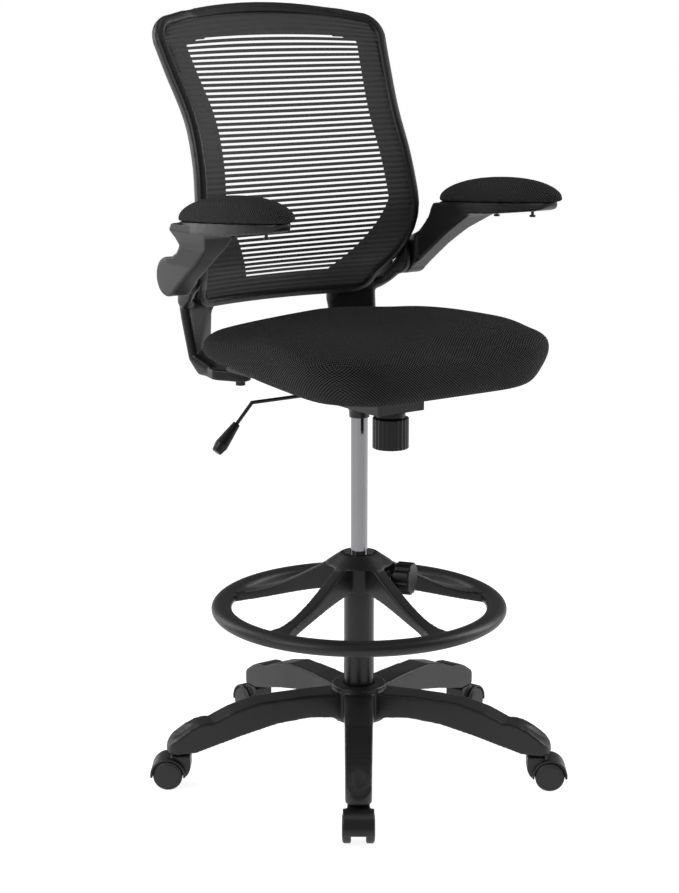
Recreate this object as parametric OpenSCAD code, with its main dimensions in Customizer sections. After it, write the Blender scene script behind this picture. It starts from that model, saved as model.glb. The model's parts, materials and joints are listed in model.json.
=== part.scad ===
// Drafting chair: five-leg caster base, foot ring on the column, gas lift, tilting seat,
// mesh back and flip-up arms. The sitter faces -Y. The origin is on the floor, on the column axis.

/* [Base] */
// Radius of the circle through the five caster stems
stem_circle_r = 308; // [285:1:340]
// Width of a leg where it meets the hub
leg_root_w = 51; // [44:1:56]
// Width of a leg at its tip
leg_tip_w = 42; // [36:1:46]
// Height of the underside of the leg tips above the floor
leg_tip_z = 59; // [57:1:70]
// Height of the top of the base hub
hub_top_z = 147; // [140:1:165]
// Radius of the flange disc on the hub
hub_r = 45; // [41:1:50]

/* [Casters] */
// Radius of a caster wheel
wheel_r = 24; // [22:0.5:25]
// Width of one of the twin wheels
wheel_w = 13; // [11:0.5:16]
// Width of the hood body between the two wheels
hood_web_w = 22; // [19:1:26]
// Distance the axle trails behind the stem
caster_trail = 19; // [15:1:22]
// Radius of a caster stem
stem_r = 5.5; // [5:0.1:6]
// Radius of a caster axle
axle_r = 3; // [2.5:0.1:4]

/* [Column and gas lift] */
// Outer radius of the column tube
column_r = 25; // [24:0.5:30]
// Wall of the column tube
column_wall = 2; // [1.5:0.1:3]
// Height of the top edge of the column tube
column_top_z = 369; // [360:1:410]
// Radius of the chromed cylinder
cylinder_r = 14; // [13:0.1:15]
// Bore radius of the cylinder
cylinder_bore_r = 10; // [9:0.1:11]
// Radius of the piston rod
rod_r = 5; // [4:0.1:6]
// Travel of the gas lift
stroke = 190; // [150:1:195]

/* [Foot ring] */
// Outer radius of the foot ring
ring_r = 245; // [225:1:265]
// Radial width of the ring section
ring_w = 34; // [28:1:40]
// Height of the ring section
ring_h = 25; // [18:0.5:28]
// Height of the middle of the ring above the floor
ring_z = 278.5; // [268:0.5:290]
// Thickness of a ring spoke
spoke_t = 22; // [16:1:27]

/* [Mechanism] */
// Height of the floor of the mechanism housing
housing_z = 624; // [620:1:650]
// Outer width of the housing channel
housing_w = 92; // [86:1:110]
// Distance of the tilt axle in front of the column axis
tilt_axle_y = 36; // [32:1:42]
// Distance of the tension knob in front of the column axis
knob_y = 85; // [82:1:92]
// Radius of the tension knob
knob_r = 29.5; // [25:0.5:32]
// Length of the side run of the lever outside the housing
lever_run = 162; // [130:1:168]
// Radius of the lever wire
lever_r = 3; // [2.5:0.1:4]

/* [Seat] */
// Width of the seat cushion
seat_w = 480; // [440:1:500]
// Depth of the seat cushion
seat_d = 431; // [400:1:460]
// Distance of the front edge in front of the column axis
seat_front_y = 257; // [240:1:280]
// Thickness of the cushion in its middle
cushion_t = 77; // [62:1:92]
// Corner radius of the cushion in plan
seat_corner_r = 95; // [80:1:120]

/* [Back] */
// Half-width of the back at its top
back_half_w = 224; // [206:1:230]
// Height of the back from its bottom edge to its top corners
back_h = 471; // [420:1:540]
// Height of the back's bottom edge above the floor
back_bottom_z = 766; // [760:1:780]
// Depth of the back frame's section
frame_depth = 22; // [16:1:28]
// Width of the back frame's section
frame_w = 18; // [14:1:24]
// How far the middle of the back lies behind its edges
back_bow = 26; // [10:1:40]

/* [Arms] */
// Height of the arm pivot above the floor
arm_pivot_z = 829; // [822:1:836]
// Distance of the arm pivot behind the column axis
arm_pivot_y = 178; // [172:1:184]
// Radius of the arm barrel
barrel_r = 32; // [28:1:34]
// Length of the arm pad
pad_l = 302; // [270:1:330]
// Width of the arm pad
pad_w = 76; // [64:1:78]
// Thickness of the arm pad
pad_t = 40; // [30:1:46]

/* [Hidden] */
$fn = 64;

run_gap = 0.05;    // radial clearance of a running fit
free_gap = 0.5;    // gap between moving faces
fit_gap = 0.05;    // gap between fixed faces that touch
eps = 0.01;

// base
legs = 5;
leg_turn = 18;     // angle of the first leg from +X
flange_t = 8;
hub_h = 61;
leg_start = column_r + 5; // where a leg begins, inside the hub's wall
column_foot = 10;  // length of column below the hub
function leg_angle(i) = leg_turn + (i - 1) * 360 / legs;

// casters
caster_axle_z = wheel_r;
hood_gap = 1;
hood_shell = 4;
hood_r = wheel_r + hood_gap + hood_shell;
wheel_gap = 0.5;
caster_w = hood_web_w + 2 * (wheel_w + wheel_gap);
stem_up = 24;      // length of stem inside the leg tip
stem_down = 20;    // length of stem inside the hood
hood_back = caster_trail + 18;  // reach of the hood behind the axle
hood_top = leg_tip_z - 3 - caster_axle_z;
hood_skirt = 4;    // how far the hood comes down past the axle
stem_block_w = 35;
caster_turns = [0, 0, -18, 0, 18]; // how far each caster has swung from its leg's line

// gas lift
column_bottom_z = hub_top_z - hub_h - column_foot;
bottom_plate_t = 4;
bearing_t = 7;
bearing_z = column_bottom_z + bottom_plate_t;
collar_z = bearing_z + bearing_t;
collar_t = 4;
clip_t = 3;
end_plug_t = 12;   // closed ends of the cylinder
lift_floor_gap = 5;
cylinder_low_z = collar_z + collar_t + lift_floor_gap + stroke;
cylinder_top_z = housing_z + 13;
piston_z = cylinder_low_z + end_plug_t + 2;
piston_t = 12;
bushing_l = 76;
bushing_lip = 4;

// foot ring
spokes = 5;
spoke_turn = -90;
ring_hub_top_z = column_top_z + 3;
ring_hub_cone_h = 18;
ring_hub_h = 67;
ring_hub_r = 56;
ring_collar_r = 33;
sleeve_t = 2.5;
clamp_turn = -54;  // direction of the clamp screw, between two spokes
clamp_z = ring_hub_top_z - 38;
clamp_boss_r = 11;
clamp_boss_end = 52;
clamp_screw_r = 4;
clamp_knob_r = 27;
clamp_knob_in = 66;
clamp_knob_t = 27;

// mechanism
sheet = 3;         // sheet metal thickness
ear_gap = 2;
axle_z = housing_z + 30;
tilt_axle_r = 5;
plate_z = housing_z + 46;
housing_front_y = -112;
housing_back_y = 72;
strap_z = housing_z + 10;
bolt_r = 4;
bolt_head_z = housing_z + 38;
lever_z = housing_z + 23.5;
lever_ball_r = 6.5;
lever_drop_x = 34; // sideways run of the lever's drooping end
lever_drop_z = 36;
grip_l = 56;
knob_h = 50;
knob_neck_h = 10;
knob_neck_r = 23.5;
flutes = 24;

// seat
board_z = plate_z + sheet + 2;
board_t = 10;
board_inset_x = 64;
board_inset_front = 42;
board_inset_back = 20;
board_corner_r = 40;
cushion_z = board_z + board_t;
cushion_top_z = cushion_z + cushion_t;
seat_back_y = seat_d - seat_front_y;
seat_mid_y = (seat_back_y - seat_front_y) / 2;
board_w = seat_w - 2 * board_inset_x;
board_d = seat_d - board_inset_front - board_inset_back;
board_mid_y = seat_mid_y + (board_inset_front - board_inset_back) / 2;
rim_r = 23;       // radius of the cushion's rounded edge
nose_r = 20;      // radius of its front edge, which hangs over the board's edge
rim_back_z = cushion_z + 33;
rim_front_z = cushion_z + 41;
nose_z = cushion_z + 1;
swell_y = -seat_front_y * 0.43; // where the sides of the cushion are fullest
swell_z = cushion_z + 50;
nose_share = 0.78; // the lowest front edge spans this share of the width
plate_w = 170;
plate_front_y = -120;
plate_back_y = 92;
seat_bolt_r = 3;
seat_bolt_x = 70;
seat_bolt_ys = [-100, 75];

// back: share of height, share of half-width, setback behind the lumbar line
back_shape = [
  [0.00, 0.760, 90],
  [0.08, 0.820, 65],
  [0.16, 0.905, 29],
  [0.25, 0.965, 6],
  [0.33, 0.982, 0],
  [0.42, 0.968, 6],
  [0.52, 0.950, 18],
  [0.66, 0.938, 46],
  [0.82, 0.985, 86],
  [1.00, 1.040, 128]
];
lumbar_y = 126;
back_top_r = 30;
back_bottom_r = 30;
back_crown = 20;
mesh_t = 3;
mesh_inset = 7;
back_low_z = back_bottom_z + frame_w / 2;
back_high_z = back_bottom_z + back_h - frame_w / 2;

// brackets: a foot under the board, a strut behind the cushion and a tab on the back frame
foot_x = seat_w / 2 - 92;
foot_y = seat_back_y - 48;
foot_t = 18;
strut_x = seat_w / 2 - 54;
strut_y = seat_back_y + 56;
strut_r = 9;
tab_x = strut_x - 48;
tab_y = back_y(tab_x, back_low_z) + frame_depth / 2 + 7;
tab_r = 9;
tab_z = back_low_z + 5;
bracket_bolt_r = 4;
screw_r = 2.5;
arm_screw_r = 2.5;
tab_screw_xs = [tab_x - 14, tab_x + 4];

// arms
bracket_barrel_x = back_half_w - 19;
barrel_in_x = bracket_barrel_x + 13;
barrel_out_x = barrel_in_x + 36;
arm_x = barrel_in_x + 40; // middle of the pad, sideways
pin_r = 6;
pin_head_r = 10;
neck_relief = 4;    // set back of the neck beside the back frame, which it swings past
pad_back_y = arm_pivot_y - 62;
pad_front_y = pad_back_y - pad_l;
pad_back_z = arm_pivot_z + 97;
pad_front_z = arm_pivot_z + 120;
tray_back_y = pad_back_y - 8;
tray_front_y = pad_front_y + 14;
arm_screw_ys = [pad_back_y - 146, pad_back_y - 236];

// Smooth curve through the rows of back_shape: share of height t, column c
function shape_row(t, i = 0) =
  i == len(back_shape) - 2 || t <= back_shape[i + 1][0] ? i : shape_row(t, i + 1);
function shape_slope(i, c) =
  let (a = max(i - 1, 0), b = min(i + 1, len(back_shape) - 1))
  (back_shape[b][c] - back_shape[a][c]) / (back_shape[b][0] - back_shape[a][0]);
function shape_at(t, c) =
  let (i = shape_row(t), p = back_shape[i], q = back_shape[i + 1],
       h = q[0] - p[0], u = (t - p[0]) / h)
  (2 * u * u * u - 3 * u * u + 1) * p[c] + (u * u * u - 2 * u * u + u) * h * shape_slope(i, c)
  + (3 * u * u - 2 * u * u * u) * q[c] + (u * u * u - u * u) * h * shape_slope(i + 1, c);
function back_share(z) = min(max((z - back_bottom_z) / back_h, 0), 1);
function back_edge_x(z) = back_half_w * shape_at(back_share(z), 1) - frame_w / 2;
function back_edge_y(z) = lumbar_y + frame_depth / 2 + shape_at(back_share(z), 2);
function back_y(x, z) = back_edge_y(z) + back_bow * (1 - pow(min(abs(x) / back_edge_x(z), 1), 2));
function back_slope(z) = (back_edge_y(z + 2) - back_edge_y(z - 2)) / 4;

// Right half of the frame's centre line as [x, z], from bottom middle to top middle
back_half_path = let (
    xb = back_edge_x(back_low_z + back_bottom_r) - back_bottom_r,
    zb = back_low_z + back_bottom_r,
    xt = back_edge_x(back_high_z - back_top_r) - back_top_r,
    zt = back_high_z - back_top_r)
  concat(
    [for (i = [0:5]) [xb * i / 6, back_low_z]],
    [for (i = [0:5]) [xb + back_bottom_r * cos(-90 + 15 * i), zb + back_bottom_r * sin(-90 + 15 * i)]],
    [for (i = [0:19]) let (z = zb + (zt - zb) * i / 20) [back_edge_x(z), z]],
    [for (i = [0:5]) [xt + back_top_r * cos(15 * i), zt + back_top_r * sin(15 * i)]],
    [for (i = [0:6]) let (u = 1 - i / 6) [xt * u, back_high_z + back_crown * (1 - u * u)]]);
back_path = concat(
  back_half_path,
  [for (i = [len(back_half_path) - 2:-1:1]) [-back_half_path[i][0], back_half_path[i][1]]]);

function round_reach(r, rise) = sqrt(max(r * r - pow(max(rise, 0), 2), 0));

// Half-width of the mesh at a height, inside the frame's rounded corners
function mesh_half(z) = let (
    zt = back_high_z - back_top_r, zb = back_low_z + back_bottom_r,
    top = back_edge_x(zt) - back_top_r + round_reach(back_top_r, z - zt),
    low = back_edge_x(zb) - back_bottom_r + round_reach(back_bottom_r, zb - z))
  z > zt ? top : z < zb ? low : back_edge_x(z);

function unit(v) = v / norm(v);

module tube_wall(r_out, r_in, h) {
  difference() {
    cylinder(r = r_out, h = h);
    translate([0, 0, -1]) cylinder(r = r_in, h = h + 2);
  }
}

// Closed band from a ring of sections: each entry is a list of points
module loft(rings, loop, flat_ends = true) {
  n = len(rings);
  m = len(rings[0]);
  last = (n - 1) * m;
  faces = concat(
    [for (i = [0:(loop ? n - 1 : n - 2)], j = [0:m - 1], k = [0, 1])
      let (a = i * m + j, b = i * m + (j + 1) % m,
           c = ((i + 1) % n) * m + j, d = ((i + 1) % n) * m + (j + 1) % m)
      k == 0 ? [a, b, c] : [b, d, c]],
    loop ? [] :
    flat_ends ? [[for (j = [m - 1:-1:0]) j], [for (j = [0:m - 1]) last + j]] :
    [for (j = [0:m / 2 - 2], k = [0:3]) let (a = j, b = j + 1, c = m - 1 - j, d = m - 2 - j)
      [[a, c, b], [b, c, d], [last + a, last + b, last + c], [last + b, last + d, last + c]][k]]);
  polyhedron(points = [for (r = rings) for (p = r) p], faces = faces);
}

// ---- base ----
module leg_side() {
  polygon([
    [leg_start, hub_top_z - hub_h + 2], [54, hub_top_z - 50.5], [92, hub_top_z - 47],
    [148, hub_top_z - 52], [205, leg_tip_z + 22.5], [stem_circle_r - 22, leg_tip_z],
    [stem_circle_r + 20, leg_tip_z], [stem_circle_r + 22, leg_tip_z + 7],
    [stem_circle_r + 19, leg_tip_z + 16], [stem_circle_r + 7, leg_tip_z + 27.5],
    [stem_circle_r - 13, leg_tip_z + 40.5], [stem_circle_r - 30, leg_tip_z + 48],
    [stem_circle_r - 44, leg_tip_z + 50], [stem_circle_r - 52, leg_tip_z + 49],
    [222, hub_top_z - 24], [178, hub_top_z - 12.5], [100, hub_top_z - flange_t - 1],
    [leg_start, hub_top_z - flange_t - 2]]);
}

module leg_plan() {
  mid_w = (leg_root_w + leg_tip_w) / 2;
  half = leg_tip_w / 2;
  polygon(concat(
    [[leg_start, -leg_root_w / 2], [hub_r, -leg_root_w / 2], [95, -mid_w / 2]],
    [for (a = [-80:10:80]) [stem_circle_r + 4 + (half - 3) * cos(a), half * sin(a)]],
    [[95, mid_w / 2], [hub_r, leg_root_w / 2], [leg_start, leg_root_w / 2]]));
}

module base_star() {
  color([0.07, 0.07, 0.075])
  difference() {
    union() {
      translate([0, 0, hub_top_z - hub_h]) cylinder(r = hub_r - 1, h = hub_h - flange_t);
      translate([0, 0, hub_top_z - flange_t - eps]) cylinder(r = hub_r, h = flange_t + eps);
      for (i = [1:legs]) rotate(leg_angle(i)) intersection() {
        translate([0, leg_root_w, 0]) rotate([90, 0, 0]) linear_extrude(2 * leg_root_w) leg_side();
        translate([0, 0, leg_tip_z - 10]) linear_extrude(hub_top_z) leg_plan();
      }
    }
    translate([0, 0, hub_top_z - hub_h - 1]) cylinder(r = column_r + run_gap, h = hub_h + 2);
    for (i = [1:legs]) rotate(leg_angle(i))
      translate([stem_circle_r, 0, leg_tip_z - 1]) cylinder(r = stem_r + run_gap, h = stem_up + 2);
  }
}

module outer_column() {
  color([0.06, 0.06, 0.065])
  difference() {
    translate([0, 0, column_bottom_z]) cylinder(r = column_r, h = column_top_z - column_bottom_z);
    translate([0, 0, bearing_z]) cylinder(r = column_r - column_wall, h = column_top_z);
    translate([0, 0, column_bottom_z - 1]) cylinder(r = rod_r + run_gap, h = bottom_plate_t + 2);
  }
}

module column_bushing() {
  color([0.03, 0.03, 0.03])
  difference() {
    union() {
      translate([0, 0, column_top_z - bushing_l])
        cylinder(r = column_r - column_wall - run_gap, h = bushing_l + 1);
      translate([0, 0, column_top_z]) cylinder(r = column_r, h = bushing_lip);
    }
    translate([0, 0, column_top_z - bushing_l - 1])
      cylinder(r = cylinder_r + run_gap, h = bushing_l + bushing_lip + 2);
  }
}

module thrust_bearing() {
  color([0.6, 0.6, 0.6])
  translate([0, 0, bearing_z]) difference() {
    tube_wall(17, rod_r + 0.5, bearing_t);
    translate([0, 0, 2.5]) tube_wall(18, 14, 2);
  }
}

// ---- casters ----
module at_caster(i, turned = true) {
  rotate(leg_angle(i)) translate([stem_circle_r, 0, 0]) rotate(turned ? caster_turns[i - 1] : 0) children();
}

module caster_stem(i) {
  color([0.55, 0.55, 0.56])
  at_caster(i) {
    translate([0, 0, leg_tip_z - stem_down]) cylinder(r = stem_r, h = stem_down + stem_up);
    translate([0, 0, leg_tip_z - 2]) cylinder(r = stem_r + 3, h = 2);
  }
}

// Side of the hood: a disc over the wheel and the housing of the stem
module hood_skirt_cut() {
  translate([-60, -60]) square([120, 60 - hood_skirt]);
}
module stem_block() {
  polygon([
    [2 - hood_back, hood_top], [-hood_back, hood_top - 3], [-hood_back, 10], [3 - hood_back, 2],
    [8 - hood_back, -hood_skirt - 1], [-3, -hood_skirt - 1], [-3, hood_r - 2], [-6, hood_top - 1],
    [-9, hood_top]]);
}
module caster_hood(i) {
  color([0.06, 0.06, 0.06])
  at_caster(i) difference() {
    translate([caster_trail, 0, caster_axle_z]) rotate([90, 0, 0]) {
      translate([0, 0, -hood_web_w / 2]) linear_extrude(hood_web_w) difference() {
        circle(r = hood_r - 1);
        hood_skirt_cut();
      }
      translate([0, 0, -stem_block_w / 2]) linear_extrude(stem_block_w) difference() {
        stem_block();
        circle(r = hood_r - hood_shell + 1);
        hood_skirt_cut();
      }
      translate([0, 0, -caster_w / 2]) linear_extrude(caster_w) difference() {
        circle(r = hood_r);
        circle(r = hood_r - hood_shell);
        hood_skirt_cut();
      }
    }
    translate([0, 0, leg_tip_z - stem_down - 1]) cylinder(r = stem_r + run_gap, h = stem_down + 2);
    translate([caster_trail, 30, caster_axle_z]) rotate([90, 0, 0]) cylinder(r = axle_r, h = 60);
  }
}

module caster_axle(i) {
  color([0.6, 0.6, 0.6])
  at_caster(i) translate([caster_trail, caster_w / 2 - 2, caster_axle_z]) rotate([90, 0, 0])
    cylinder(r = axle_r, h = caster_w - 4);
}

module caster_wheels(i) {
  color([0.05, 0.05, 0.05])
  at_caster(i) for (side = [-1, 1])
    translate([caster_trail, side * (hood_web_w / 2 + wheel_gap + wheel_w / 2), caster_axle_z])
      rotate([90, 0, 0]) difference() {
        rotate_extrude() polygon([
          [axle_r + run_gap, -wheel_w / 2], [wheel_r - 2, -wheel_w / 2], [wheel_r, -wheel_w / 2 + 2],
          [wheel_r, wheel_w / 2 - 2], [wheel_r - 2, wheel_w / 2], [axle_r + run_gap, wheel_w / 2]]);
      }
}

// ---- gas lift ----
module piston_rod() {
  color([0.75, 0.75, 0.77]) {
    translate([0, 0, column_bottom_z - clip_t - 5])
      cylinder(r = rod_r, h = piston_z + 5 - column_bottom_z + clip_t + 5);
    translate([0, 0, collar_z]) cylinder(r = 2 * rod_r, h = collar_t);
  }
}

module piston() {
  color([0.3, 0.3, 0.3])
  translate([0, 0, piston_z]) difference() {
    cylinder(r = cylinder_bore_r - 0.1, h = piston_t);
    translate([0, 0, -1]) cylinder(r = rod_r, h = 6);
  }
}

module rod_clip() {
  color([0.6, 0.6, 0.6])
  translate([0, 0, column_bottom_z - clip_t - 0.3]) tube_wall(2 * rod_r, rod_r, clip_t);
}

module gas_cylinder() {
  taper_z = housing_z - 24;
  color([0.62, 0.62, 0.64])
  rotate_extrude() polygon([
    [rod_r + run_gap, cylinder_low_z], [cylinder_r, cylinder_low_z], [cylinder_r, taper_z],
    [cylinder_r - 0.8, cylinder_top_z], [bolt_r + run_gap, cylinder_top_z],
    [bolt_r + run_gap, cylinder_top_z - end_plug_t], [cylinder_bore_r, cylinder_top_z - end_plug_t],
    [cylinder_bore_r, cylinder_low_z + end_plug_t], [rod_r + run_gap, cylinder_low_z + end_plug_t]]);
}

module release_pin() {
  color([0.7, 0.7, 0.7])
  translate([0, 0, cylinder_top_z - 10]) cylinder(r = bolt_r, h = lever_z - lever_r / 2 - free_gap - cylinder_top_z + 10);
}

// ---- foot ring ----
// Side of a spoke, which curves down from the hub to the ring
module spoke_side() {
  in_r = ring_collar_r - 3;
  out_r = ring_r - ring_w + 4;
  low_z = ring_hub_top_z - ring_hub_h + 4;
  high_z = ring_hub_top_z - 17;
  end_low = ring_z - ring_h * 0.35;
  end_high = ring_z + ring_h * 0.35;
  polygon(concat(
    [[in_r, low_z]],
    [for (u = [0.1:0.1:1])
      [in_r + (out_r - in_r) * u, low_z - (low_z - end_low) * sin(90 * u) * pow(u, 0.7)]],
    [for (u = [0:0.1:1]) [out_r - (out_r - 52) * u,
      end_high + (high_z - end_high) * (0.8 * (1 - cos(90 * u)) + 0.2 * u)]],
    [[in_r, high_z + 1]]));
}

// Plan of a spoke, wider where it meets the ring
module spoke_plan() {
  out_r = ring_r - ring_w + 6;
  half = spoke_t / 2;
  polygon([
    [20, -half], [out_r - 50, -half], [out_r - 22, -half * 1.2],
    [out_r - 8, -half * 1.6], [out_r, -half * 1.9],
    [out_r, half * 1.9], [out_r - 8, half * 1.6],
    [out_r - 22, half * 1.2], [out_r - 50, half], [20, half]]);
}

module foot_ring() {
  color([0.08, 0.08, 0.085])
  difference() {
    union() {
      translate([0, 0, ring_z]) rotate_extrude($fn = 128) translate([ring_r - ring_w / 2, 0])
        scale([ring_w / ring_h, 1]) circle(r = ring_h / 2, $fn = 32);
      for (i = [1:spokes]) rotate(spoke_turn + 360 / spokes * i) intersection() {
        translate([0, spoke_t, 0]) rotate([90, 0, 0]) linear_extrude(2 * spoke_t) spoke_side();
        translate([0, 0, ring_z - ring_h]) linear_extrude(ring_hub_top_z) spoke_plan();
      }
      translate([0, 0, ring_hub_top_z - ring_hub_h]) cylinder(r = ring_collar_r, h = ring_hub_h - 5);
      translate([0, 0, ring_hub_top_z - ring_hub_cone_h])
        cylinder(r1 = ring_hub_r, r2 = column_r + sleeve_t + 3, h = ring_hub_cone_h);
      rotate(clamp_turn) translate([0, 0, clamp_z]) rotate([0, 90, 0])
        cylinder(r = clamp_boss_r, h = clamp_boss_end);
    }
    translate([0, 0, ring_hub_top_z - ring_hub_h - 1])
      cylinder(r = column_r + sleeve_t + 2 * run_gap, h = ring_hub_h + 2);
    rotate(clamp_turn) translate([0, 0, clamp_z]) rotate([0, 90, 0])
      cylinder(r = clamp_screw_r + run_gap, h = clamp_boss_end + 5);
  }
}

module ring_bushing() {
  color([0.04, 0.04, 0.04])
  translate([0, 0, ring_hub_top_z - ring_hub_h])
    tube_wall(column_r + sleeve_t + run_gap, column_r + run_gap, ring_hub_h);
}

module ring_screw() {
  color([0.55, 0.55, 0.55])
  rotate(clamp_turn) translate([column_r + sleeve_t + 0.5, 0, clamp_z]) rotate([0, 90, 0])
    cylinder(r = clamp_screw_r, h = clamp_knob_in + 15 - column_r - sleeve_t);
}

module ring_knob() {
  lobes = 8;
  color([0.06, 0.06, 0.06])
  rotate(clamp_turn) translate([clamp_knob_in, 0, clamp_z]) rotate([0, 90, 0]) difference() {
    union() {
      cylinder(r = clamp_knob_r, h = clamp_knob_t);
      translate([0, 0, -8]) cylinder(r = 12, h = 9);
    }
    for (i = [1:lobes]) rotate(360 / lobes * i) translate([clamp_knob_r + 2.5, 0, -1])
      cylinder(r = 5, h = clamp_knob_t + 2);
    translate([0, 0, -9]) cylinder(r = clamp_screw_r, h = 24.5);
  }
}

// ---- mechanism ----
module taper_socket() {
  color([0.05, 0.05, 0.05])
  rotate_extrude() polygon([
    [cylinder_r + run_gap, housing_z - 24], [cylinder_r + 2.5, housing_z - 24],
    [cylinder_r + 3, housing_z - 14], [cylinder_r + 8, housing_z - 4], [cylinder_r + 8, housing_z],
    [cylinder_r + 6, housing_z], [cylinder_r + 6, housing_z + 10], [cylinder_r - 0.6, housing_z + 10]]);
}

module housing_side() {
  polygon([
    [housing_front_y, housing_z], [housing_back_y, housing_z], [housing_back_y, housing_z + 18],
    [10, housing_z + 33], [-20, housing_z + 38], [housing_front_y, housing_z + 38]]);
}

module mechanism_housing() {
  color([0.07, 0.07, 0.07])
  difference() {
    rotate([90, 0, 90]) translate([0, 0, -housing_w / 2]) linear_extrude(housing_w) housing_side();
    translate([-housing_w / 2 + sheet, housing_front_y + sheet, housing_z + sheet])
      cube([housing_w - 2 * sheet, housing_back_y - housing_front_y - 2 * sheet, 60]);
    translate([0, 0, housing_z - 1]) cylinder(r = cylinder_r + 6 + run_gap, h = 6);
    translate([0, -knob_y, housing_z - 1]) cylinder(r = bolt_r + run_gap, h = 6);
    translate([-housing_w / 2 - 1, -tilt_axle_y, axle_z]) rotate([0, 90, 0])
      cylinder(r = tilt_axle_r + run_gap, h = housing_w + 2);
    translate([-housing_w / 2 - 1, 0, lever_z]) rotate([0, 90, 0])
      cylinder(r = lever_ball_r + 0.1, h = sheet + 2);
  }
}

module tilt_axle() {
  color([0.6, 0.6, 0.6])
  translate([0, -tilt_axle_y, axle_z]) rotate([0, 90, 0]) {
    translate([0, 0, -housing_w / 2 - 6]) cylinder(r = tilt_axle_r, h = housing_w + 12);
    for (side = [-1, 1]) translate([0, 0, side * (housing_w / 2 + 2.5) - 2])
      cylinder(r = tilt_axle_r + 3, h = 4);
  }
}

module tilt_spring() {
  turns = 5;
  steps = 12;
  wire = 1.6;
  low = strap_z + sheet + 0.4 + wire;
  high = bolt_head_z - 0.4 - wire;
  color([0.5, 0.5, 0.5])
  translate([0, -knob_y, 0]) loft([for (i = [0:turns * steps])
    let (a = 360 * i / steps, z = low + (high - low) * i / (turns * steps))
    [for (j = [0:7]) let (b = 45 * j, r = 11 + wire * cos(b))
      [r * cos(a), r * sin(a), z + wire * sin(b)]]], false);
}

module tension_bolt() {
  color([0.55, 0.55, 0.55])
  translate([0, -knob_y, 0]) {
    translate([0, 0, housing_z - knob_neck_h - knob_h + 4])
      cylinder(r = bolt_r, h = bolt_head_z - housing_z + knob_neck_h + knob_h - 4);
    translate([0, 0, bolt_head_z - eps]) cylinder(r = 13, h = 5, $fn = 6);
  }
}

module tension_knob() {
  flute_d = 1.4;
  color([0.06, 0.06, 0.06])
  translate([0, -knob_y, housing_z - free_gap - knob_neck_h - knob_h]) difference() {
    union() {
      linear_extrude(knob_h) polygon([for (i = [0:flutes * 6 - 1])
        let (a = 360 * i / (flutes * 6), r = knob_r - flute_d / 2 + flute_d / 2 * cos(a * flutes))
        [r * cos(a), r * sin(a)]]);
      translate([0, 0, knob_h - 1]) cylinder(r = knob_neck_r, h = knob_neck_h + 1);
    }
    translate([0, 0, 4 + free_gap]) cylinder(r = bolt_r, h = knob_h + knob_neck_h);
  }
}

lever_wall_x = housing_w / 2 - sheet / 2;
lever_bend_x = housing_w / 2 + lever_run;

module lever_bush() {
  color([0.8, 0.8, 0.78])
  translate([-lever_wall_x, 0, lever_z]) difference() {
    sphere(r = lever_ball_r);
    translate([-10, 0, 0]) rotate([0, 90, 0]) cylinder(r = lever_r + run_gap, h = 20);
  }
}

module lever_wire() {
  tongue_x = 21;
  color([0.05, 0.05, 0.05]) {
    translate([-lever_bend_x, 0, lever_z]) rotate([0, 90, 0])
      cylinder(r = lever_r, h = lever_bend_x - tongue_x);
    translate([-lever_bend_x, 0, lever_z]) sphere(r = lever_r, $fn = 32);
    translate([-tongue_x - 2, -5, lever_z - lever_r / 2]) cube([tongue_x + 18, 10, lever_r]);
    translate([-lever_bend_x, 0, lever_z]) rotate([0, 180 + atan2(lever_drop_x, lever_drop_z), 0])
      cylinder(r = lever_r, h = norm([lever_drop_x, lever_drop_z]) + 8);
  }
}

module lever_grip() {
  color([0.06, 0.06, 0.06])
  translate([-lever_bend_x, 0, lever_z]) rotate([0, 180 + atan2(lever_drop_x, lever_drop_z), 0])
    translate([0, 0, norm([lever_drop_x, lever_drop_z]) - 8]) difference() {
      union() {
        cylinder(r1 = 6, r2 = 11, h = grip_l - 14, $fn = 64);
        translate([0, 0, grip_l - 14]) cylinder(r1 = 11, r2 = 8, h = 14);
      }
      translate([0, 0, -1]) cylinder(r = lever_r, h = 17);
    }
}

// ---- seat ----
module ear_side() {
  polygon([
    [housing_front_y + 6, strap_z], [housing_front_y + 6, plate_z + 1], [-16, plate_z + 1],
    [-16, axle_z - 12], [-26, strap_z]]);
}

module seat_plate() {
  ear_x = housing_w / 2 - sheet - ear_gap;
  color([0.07, 0.07, 0.07])
  difference() {
    union() {
      translate([-plate_w / 2, plate_front_y, plate_z])
        cube([plate_w, plate_back_y - plate_front_y, sheet]);
      for (side = [-1, 1]) rotate([90, 0, 90])
        translate([0, 0, side * (ear_x - sheet / 2) - sheet / 2]) linear_extrude(sheet) ear_side();
      translate([-ear_x + 1, -knob_y - 13, strap_z]) cube([2 * ear_x - 2, 26, sheet]);
    }
    translate([0, -knob_y, strap_z - 1]) cylinder(r = 9, h = sheet + 2);
    translate([-housing_w / 2, -tilt_axle_y, axle_z]) rotate([0, 90, 0])
      cylinder(r = tilt_axle_r + run_gap, h = housing_w);
    translate([0, 0, plate_z - 1]) cylinder(r = 24, h = sheet + 2);
    for (x = [-seat_bolt_x, seat_bolt_x], y = seat_bolt_ys)
      translate([x, y, plate_z - 1]) cylinder(r = seat_bolt_r + run_gap, h = sheet + 2);
  }
}

module rounded_slab(w, d, r, h) {
  linear_extrude(h) hull() for (x = [-1, 1], y = [-1, 1])
    translate([x * (w / 2 - r), y * (d / 2 - r)]) circle(r = r);
}

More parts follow.
